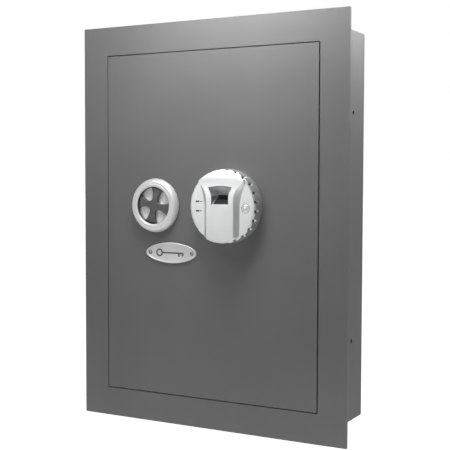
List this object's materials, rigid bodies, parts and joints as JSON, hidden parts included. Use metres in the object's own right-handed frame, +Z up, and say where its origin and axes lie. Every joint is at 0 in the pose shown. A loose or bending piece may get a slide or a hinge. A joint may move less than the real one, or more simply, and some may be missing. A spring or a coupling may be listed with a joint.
{
  "type": "wall safe",
  "caption": "Recessed wall safe with a flush hinged door, fingerprint lock unit, turning knob that throws locking bolts, hidden key lock and inner shelves.",
  "frame": {"origin": "middle of the front flange's rear face, in the plane of the wall surface, on the centre line of the box", "axes": "+X to the right seen from the front, +Y into the wall, +Z up; the door faces -Y"},
  "size_m": [0.387, 0.122, 0.527],
  "materials": {
    "painted_steel": "dark grey powder coat, satin",
    "bare_steel": "turned, satin",
    "zinc_steel": "zinc plated, dull",
    "satin_chrome": "satin",
    "silver_plastic": "silver lacquer, satin",
    "grey_plastic": "dark grey, satin",
    "black_plastic": "moulded, matt",
    "sensor_glass": "polished, dark",
    "red_lens": "unlit lens",
    "green_lens": "unlit lens",
    "circuit_green": "solder mask",
    "copper_coil": "wound copper wire",
    "cell_jacket": "plain printed jacket",
    "brass": "turned",
    "cable_jacket": "matt"
  },
  "bodies": {
    "safe_body": {"front_flange": "painted_steel", "box_shell": "painted_steel", "back_panel": "painted_steel", "strike_plate": "zinc_steel", "door_stop_upper": "black_plastic", "door_stop_lower": "black_plastic", "hinge_bracket_upper": "zinc_steel", "hinge_bracket_lower": "zinc_steel", "shelf_upper": "painted_steel", "shelf_lower": "painted_steel", "shelf_bracket_upper_left": "zinc_steel", "shelf_bracket_upper_right": "zinc_steel", "shelf_bracket_lower_left": "zinc_steel", "shelf_bracket_lower_right": "zinc_steel"},
    "door": {"battery_1": "cell_jacket", "battery_2": "cell_jacket", "battery_3": "cell_jacket", "battery_4": "cell_jacket", "battery_case": "black_plastic", "battery_lead": "cable_jacket", "bolt_guide_lower": "black_plastic", "bolt_guide_upper": "black_plastic", "circuit_board": "circuit_green", "door_plate": "painted_steel", "fingerprint_glass": "sensor_glass", "hinge_block_lower": "zinc_steel", "hinge_block_upper": "zinc_steel", "hinge_pin_lower": "bare_steel", "hinge_pin_upper": "bare_steel", "hinge_side_bar": "zinc_steel", "inner_cover": "painted_steel", "key_lock_barrel": "brass", "knob_bush": "brass", "mechanism_rim": "painted_steel", "nameplate": "satin_chrome", "nameplate_screw_left": "bare_steel", "nameplate_screw_right": "bare_steel", "plunger_spring": "bare_steel", "program_switch": "black_plastic", "scanner_cover": "silver_plastic", "scanner_ring": "silver_plastic", "solenoid_coil": "copper_coil", "solenoid_frame": "zinc_steel", "solenoid_lead": "cable_jacket", "status_light_alert": "red_lens", "status_light_ready": "green_lens"},
    "knob": {"knob_body": "satin_chrome", "knob_grip": "grey_plastic", "knob_spindle": "bare_steel", "knob_crank": "zinc_steel"},
    "bolt_carriage": {"bolt_bar": "zinc_steel", "drive_plate": "zinc_steel", "locking_bolt_upper": "bare_steel", "locking_bolt_lower": "bare_steel"},
    "scan_button": {"scan_button": "silver_plastic"},
    "program_button": {"program_button": "black_plastic"},
    "key_plug": {"key_lock_plug": "brass", "key_lock_cam": "zinc_steel"},
    "plunger": {"solenoid_plunger": "bare_steel"},
    "battery_cover": {"battery_cover": "black_plastic"}
  },
  "joints": [
    {"name": "door_hinge", "type": "hinge", "parent": "safe_body", "child": "door", "pos_m": [0.13, 0.0045, 0], "axis": [0, 0, 1], "range_deg": [0, 100]},
    {"name": "knob_turn", "type": "hinge", "parent": "door", "child": "knob", "pos_m": [-0.0774, -0.003, 0.0252], "axis": [0, 1, 0], "range_deg": [-90, 0]},
    {"name": "bolt_slide", "type": "slide", "parent": "door", "child": "bolt_carriage", "axis": [1, 0, 0], "range_m": [-0.015, 0]},
    {"name": "scan_button_press", "type": "slide", "parent": "door", "child": "scan_button", "axis": [0, 1, 0], "range_m": [0, 0.0012], "stiffness_N_per_m": 400},
    {"name": "program_button_press", "type": "slide", "parent": "door", "child": "program_button", "axis": [0, -1, 0], "range_m": [0, 0.0013], "stiffness_N_per_m": 300},
    {"name": "key_lock_turn", "type": "hinge", "parent": "door", "child": "key_plug", "pos_m": [-0.0536, 0, -0.0368], "axis": [0, 1, 0], "range_deg": [0, 90]},
    {"name": "plunger_slide", "type": "slide", "parent": "door", "child": "plunger", "axis": [0, 0, 1], "range_m": [0, 0.006], "deforming": ["plunger_spring"]},
    {"name": "battery_cover_slide", "type": "slide", "parent": "door", "child": "battery_cover", "axis": [0, 0, -1], "range_m": [0, 0.055]}
  ],
  "couplings": [
    {"joint": "bolt_slide", "follows": "knob_turn", "m_per_rad": 0.00954}
  ]
}
